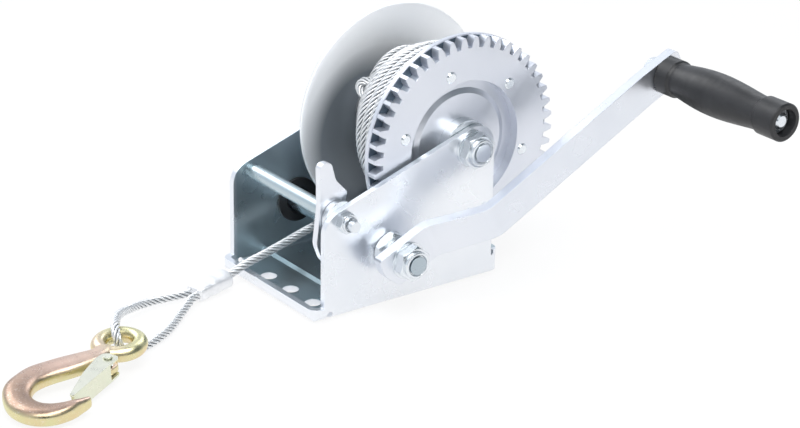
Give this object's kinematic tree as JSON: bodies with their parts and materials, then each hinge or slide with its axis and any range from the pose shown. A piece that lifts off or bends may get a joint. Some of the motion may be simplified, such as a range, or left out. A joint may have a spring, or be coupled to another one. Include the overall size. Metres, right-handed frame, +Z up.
{
  "type": "hand winch",
  "caption": "Hand winch with a folded steel frame, geared rope drum, cranked pinion, reversible pawl, and a steel rope that ends in an eye with a latched hook.",
  "frame": {"origin": "on the underside of the base, midway between the side plates and level with their front edges", "axes": "+X across the winch towards the crank, +Y from the rope side to the rear, +Z up from the mounting surface"},
  "size_m": [0.2174, 0.4044, 0.1378],
  "materials": {
    "zinc_sheet": "bright zinc plated, satin with a bluish tone",
    "zinc_parts": "bright zinc plated fasteners and turned pieces",
    "pinion_steel": "oiled machined steel",
    "rope_steel": "galvanised stranded wire",
    "pressed_aluminium": "bright pressed aluminium",
    "yellow_zinc": "yellow chromated zinc with pink and green tints",
    "black_plastic": "matt moulded black",
    "grip_black": "satin moulded black"
  },
  "bodies": {
    "frame_body": {"frame": "zinc_sheet", "left_bush": "black_plastic", "right_bush": "black_plastic", "axle_bolt": "zinc_parts", "axle_sleeve": "zinc_parts", "axle_washers": "zinc_parts", "axle_nut": "zinc_parts", "tie_bolt": "zinc_parts", "tie_tube": "zinc_parts", "tie_washer": "zinc_parts", "pawl_bush": "zinc_parts", "tie_nut": "zinc_parts", "rope_lead": "rope_steel", "ferrule": "pressed_aluminium", "rope_eye": "rope_steel", "hook": "yellow_zinc", "latch_pin": "yellow_zinc", "latch_spring": "zinc_parts"},
    "drum_body": {"drum_tube": "zinc_sheet", "left_flange": "zinc_sheet", "right_flange": "zinc_sheet", "gear_ring": "zinc_sheet", "gear_rivets": "zinc_sheet", "left_hub": "zinc_parts", "right_hub": "zinc_parts", "rope_core": "rope_steel", "rope_winding": "rope_steel", "rope_clamp": "zinc_parts", "clamp_screws": "zinc_parts"},
    "crank_body": {"pinion_shaft": "pinion_steel", "pinion": "pinion_steel", "jam_nut": "zinc_parts", "inner_washer": "zinc_parts", "crank_arm": "zinc_sheet", "outer_washer": "zinc_parts", "crank_nut": "zinc_parts", "grip_pin": "zinc_parts", "grip_pin_nut": "zinc_parts", "grip_washer": "black_plastic"},
    "grip_body": {"grip": "grip_black"},
    "pawl_body": {"pawl": "zinc_sheet"},
    "latch_body": {"latch": "yellow_zinc"}
  },
  "joints": [
    {"name": "drum_spin", "type": "hinge", "parent": "frame_body", "child": "drum_body", "pos_m": [0, 0.094, 0.0772], "axis": [1, 0, 0], "continuous": true},
    {"name": "crank_spin", "type": "hinge", "parent": "frame_body", "child": "crank_body", "pos_m": [0, 0.04125, 0.03118], "axis": [1, 0, 0], "continuous": true},
    {"name": "grip_spin", "type": "hinge", "parent": "crank_body", "child": "grip_body", "pos_m": [0, 0.20439, 0.10484], "axis": [1, 0, 0], "continuous": true},
    {"name": "pawl_flip", "type": "hinge", "parent": "frame_body", "child": "pawl_body", "pos_m": [0, 0.0125, 0.054], "axis": [1, 0, 0], "range_deg": [-20, 12]},
    {"name": "latch_swing", "type": "hinge", "parent": "frame_body", "child": "latch_body", "pos_m": [0.04276, -0.12695, 0.00903], "axis": [0.0297, -0.0631, 0.9976], "range_deg": [-22, 0], "stiffness_Nm_per_rad": 0.02, "springref_deg": 17.19}
  ],
  "couplings": [
    {"joint": "crank_spin", "follows": "drum_spin", "ratio": -4.6}
  ]
}
